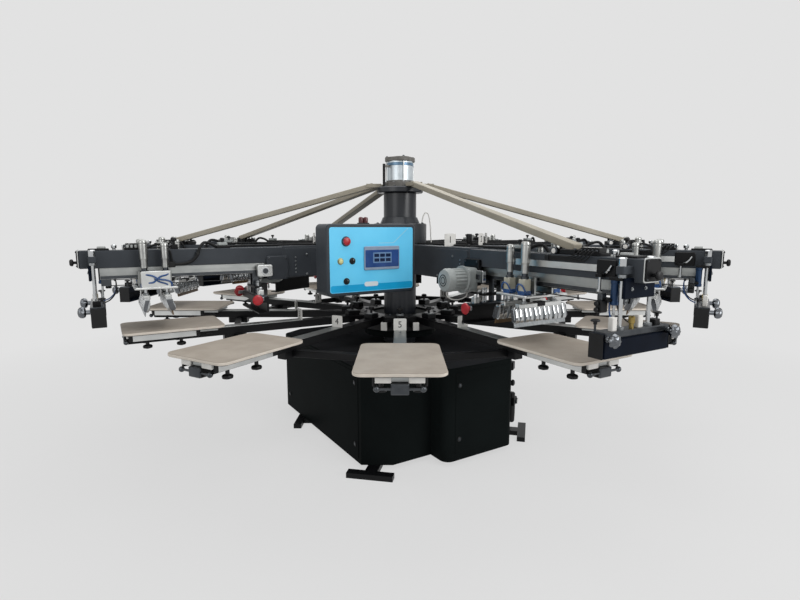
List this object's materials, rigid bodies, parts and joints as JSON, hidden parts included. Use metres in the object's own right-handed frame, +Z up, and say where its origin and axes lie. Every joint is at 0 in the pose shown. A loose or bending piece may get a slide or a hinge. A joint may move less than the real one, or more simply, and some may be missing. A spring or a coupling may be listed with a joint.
{
  "type": "screen printing carousel",
  "caption": "Automatic screen printing carousel: a turning, lifting wheel of pallets under a fixed spider of print arms with sliding squeegee carriages, struts and a control panel.",
  "frame": {"origin": "on the carousel's turning axis at floor level", "axes": "+Z up along the turning axis; the loading side, with the control panel, faces -Y"},
  "size_m": [4.255, 4.0275, 2.0523],
  "materials": {
    "black_enamel": "satin",
    "gloss_dark_enamel": "gloss",
    "motor_grey_enamel": "satin",
    "charcoal_enamel": "satin",
    "khaki_enamel": "satin",
    "anodised_aluminium": "satin",
    "bright_steel": "polished",
    "pallet_coating": "matte",
    "sky_blue_film": "satin",
    "screen_grey": "satin",
    "red_plastic": "gloss",
    "dark_red_lens": "gloss",
    "yellow_lens": "gloss",
    "black_plastic": "satin"
  },
  "bodies": {
    "base": {"base_frame": "black_enamel", "base_skirt": "gloss_dark_enamel", "index_gearmotor": "motor_grey_enamel", "column": "gloss_dark_enamel", "print_spider": "charcoal_enamel", "strut_crown": "khaki_enamel", "lift_cylinder": "anodised_aluminium", "panel_case": "gloss_dark_enamel", "panel_fascia": "sky_blue_film", "touch_screen": "screen_grey", "beacon_lamp": "dark_red_lens"},
    "lift": {"lift_rod": "bright_steel", "lift_sleeve": "gloss_dark_enamel"},
    "carousel": {"pallet_spider": "black_enamel", "pallet_01": "pallet_coating", "pallet_02": "pallet_coating", "pallet_03": "pallet_coating", "pallet_04": "pallet_coating", "pallet_05": "pallet_coating", "pallet_06": "pallet_coating", "pallet_07": "pallet_coating", "pallet_08": "pallet_coating", "pallet_09": "pallet_coating", "pallet_10": "pallet_coating", "pallet_11": "pallet_coating", "pallet_12": "pallet_coating"},
    "carriage_01": {"carriage_01": "anodised_aluminium"},
    "squeegee_01": {"squeegee_01": "anodised_aluminium"},
    "flood_bar_01": {"flood_bar_01": "anodised_aluminium"},
    "carriage_02": {"carriage_02": "anodised_aluminium"},
    "squeegee_02": {"squeegee_02": "anodised_aluminium"},
    "flood_bar_02": {"flood_bar_02": "anodised_aluminium"},
    "carriage_03": {"carriage_03": "anodised_aluminium"},
    "squeegee_03": {"squeegee_03": "anodised_aluminium"},
    "flood_bar_03": {"flood_bar_03": "anodised_aluminium"},
    "carriage_04": {"carriage_04": "anodised_aluminium"},
    "squeegee_04": {"squeegee_04": "anodised_aluminium"},
    "flood_bar_04": {"flood_bar_04": "anodised_aluminium"},
    "carriage_05": {"carriage_05": "anodised_aluminium"},
    "squeegee_05": {"squeegee_05": "anodised_aluminium"},
    "flood_bar_05": {"flood_bar_05": "anodised_aluminium"},
    "carriage_06": {"carriage_06": "anodised_aluminium"},
    "squeegee_06": {"squeegee_06": "anodised_aluminium"},
    "flood_bar_06": {"flood_bar_06": "anodised_aluminium"},
    "carriage_07": {"carriage_07": "anodised_aluminium"},
    "squeegee_07": {"squeegee_07": "anodised_aluminium"},
    "flood_bar_07": {"flood_bar_07": "anodised_aluminium"},
    "carriage_08": {"carriage_08": "anodised_aluminium"},
    "squeegee_08": {"squeegee_08": "anodised_aluminium"},
    "flood_bar_08": {"flood_bar_08": "anodised_aluminium"},
    "carriage_09": {"carriage_09": "anodised_aluminium"},
    "squeegee_09": {"squeegee_09": "anodised_aluminium"},
    "flood_bar_09": {"flood_bar_09": "anodised_aluminium"},
    "carriage_10": {"carriage_10": "anodised_aluminium"},
    "squeegee_10": {"squeegee_10": "anodised_aluminium"},
    "flood_bar_10": {"flood_bar_10": "anodised_aluminium"},
    "estop_button": {"estop_button": "red_plastic"},
    "start_button": {"start_button": "yellow_lens"},
    "selector_mode": {"selector_mode": "black_plastic"},
    "selector_power": {"selector_power": "black_plastic"}
  },
  "joints": [
    {"name": "carousel_lift", "type": "slide", "parent": "base", "child": "lift", "axis": [0, 0, 1], "range_m": [0, 0.045]},
    {"name": "carousel_index", "type": "hinge", "parent": "lift", "child": "carousel", "pos_m": [0, 0, 0.85], "axis": [0, 0, 1], "continuous": true},
    {"name": "carriage_01_slide", "type": "slide", "parent": "base", "child": "carriage_01", "axis": [0.5, -0.866, 0], "range_m": [-0.125, 0.305]},
    {"name": "squeegee_01_drop", "type": "slide", "parent": "carriage_01", "child": "squeegee_01", "axis": [0, 0, 1], "range_m": [-0.035, 0]},
    {"name": "flood_bar_01_drop", "type": "slide", "parent": "carriage_01", "child": "flood_bar_01", "axis": [0, 0, 1], "range_m": [-0.035, 0]},
    {"name": "carriage_02_slide", "type": "slide", "parent": "base", "child": "carriage_02", "axis": [0.866, -0.5, 0], "range_m": [-0.43, 0]},
    {"name": "squeegee_02_drop", "type": "slide", "parent": "carriage_02", "child": "squeegee_02", "axis": [0, 0, 1], "range_m": [-0.035, 0]},
    {"name": "flood_bar_02_drop", "type": "slide", "parent": "carriage_02", "child": "flood_bar_02", "axis": [0, 0, 1], "range_m": [-0.035, 0]},
    {"name": "carriage_03_slide", "type": "slide", "parent": "base", "child": "carriage_03", "axis": [1, 0, 0], "range_m": [-0.43, 0]},
    {"name": "squeegee_03_drop", "type": "slide", "parent": "carriage_03", "child": "squeegee_03", "axis": [0, 0, 1], "range_m": [-0.035, 0]},
    {"name": "flood_bar_03_drop", "type": "slide", "parent": "carriage_03", "child": "flood_bar_03", "axis": [0, 0, 1], "range_m": [-0.035, 0]},
    {"name": "carriage_04_slide", "type": "slide", "parent": "base", "child": "carriage_04", "axis": [0.866, 0.5, 0], "range_m": [-0.43, 0]},
    {"name": "squeegee_04_drop", "type": "slide", "parent": "carriage_04", "child": "squeegee_04", "axis": [0, 0, 1], "range_m": [-0.035, 0]},
    {"name": "flood_bar_04_drop", "type": "slide", "parent": "carriage_04", "child": "flood_bar_04", "axis": [0, 0, 1], "range_m": [-0.035, 0]},
    {"name": "carriage_05_slide", "type": "slide", "parent": "base", "child": "carriage_05", "axis": [0.5, 0.866, 0], "range_m": [-0.43, 0]},
    {"name": "squeegee_05_drop", "type": "slide", "parent": "carriage_05", "child": "squeegee_05", "axis": [0, 0, 1], "range_m": [-0.035, 0]},
    {"name": "flood_bar_05_drop", "type": "slide", "parent": "carriage_05", "child": "flood_bar_05", "axis": [0, 0, 1], "range_m": [-0.035, 0]},
    {"name": "carriage_06_slide", "type": "slide", "parent": "base", "child": "carriage_06", "axis": [0, 1, 0], "range_m": [-0.43, 0]},
    {"name": "squeegee_06_drop", "type": "slide", "parent": "carriage_06", "child": "squeegee_06", "axis": [0, 0, 1], "range_m": [-0.035, 0]},
    {"name": "flood_bar_06_drop", "type": "slide", "parent": "carriage_06", "child": "flood_bar_06", "axis": [0, 0, 1], "range_m": [-0.035, 0]},
    {"name": "carriage_07_slide", "type": "slide", "parent": "base", "child": "carriage_07", "axis": [-0.5, 0.866, 0], "range_m": [-0.43, 0]},
    {"name": "squeegee_07_drop", "type": "slide", "parent": "carriage_07", "child": "squeegee_07", "axis": [0, 0, 1], "range_m": [-0.035, 0]},
    {"name": "flood_bar_07_drop", "type": "slide", "parent": "carriage_07", "child": "flood_bar_07", "axis": [0, 0, 1], "range_m": [-0.035, 0]},
    {"name": "carriage_08_slide", "type": "slide", "parent": "base", "child": "carriage_08", "axis": [-0.866, 0.5, 0], "range_m": [-0.43, 0]},
    {"name": "squeegee_08_drop", "type": "slide", "parent": "carriage_08", "child": "squeegee_08", "axis": [0, 0, 1], "range_m": [-0.035, 0]},
    {"name": "flood_bar_08_drop", "type": "slide", "parent": "carriage_08", "child": "flood_bar_08", "axis": [0, 0, 1], "range_m": [-0.035, 0]},
    {"name": "carriage_09_slide", "type": "slide", "parent": "base", "child": "carriage_09", "axis": [-1, 0, 0], "range_m": [-0.43, 0]},
    {"name": "squeegee_09_drop", "type": "slide", "parent": "carriage_09", "child": "squeegee_09", "axis": [0, 0, 1], "range_m": [-0.035, 0]},
    {"name": "flood_bar_09_drop", "type": "slide", "parent": "carriage_09", "child": "flood_bar_09", "axis": [0, 0, 1], "range_m": [-0.035, 0]},
    {"name": "carriage_10_slide", "type": "slide", "parent": "base", "child": "carriage_10", "axis": [-0.866, -0.5, 0], "range_m": [-0.43, 0]},
    {"name": "squeegee_10_drop", "type": "slide", "parent": "carriage_10", "child": "squeegee_10", "axis": [0, 0, 1], "range_m": [-0.035, 0]},
    {"name": "flood_bar_10_drop", "type": "slide", "parent": "carriage_10", "child": "flood_bar_10", "axis": [0, 0, 1], "range_m": [-0.035, 0]},
    {"name": "estop_press", "type": "slide", "parent": "base", "child": "estop_button", "axis": [-0.5446, 0.8387, 0], "range_m": [0, 0.006], "stiffness_N_per_m": 900},
    {"name": "start_press", "type": "slide", "parent": "base", "child": "start_button", "axis": [-0.5446, 0.8387, 0], "range_m": [0, 0.004], "stiffness_N_per_m": 600},
    {"name": "mode_turn", "type": "hinge", "parent": "base", "child": "selector_mode", "pos_m": [-0.28293, -0.87788, 1.342], "axis": [0.5446, -0.8387, 0], "range_deg": [-45, 45]},
    {"name": "power_turn", "type": "hinge", "parent": "base", "child": "selector_power", "pos_m": [-0.31648, -0.89967, 1.223], "axis": [0.5446, -0.8387, 0], "range_deg": [-45, 45]}
  ]
}
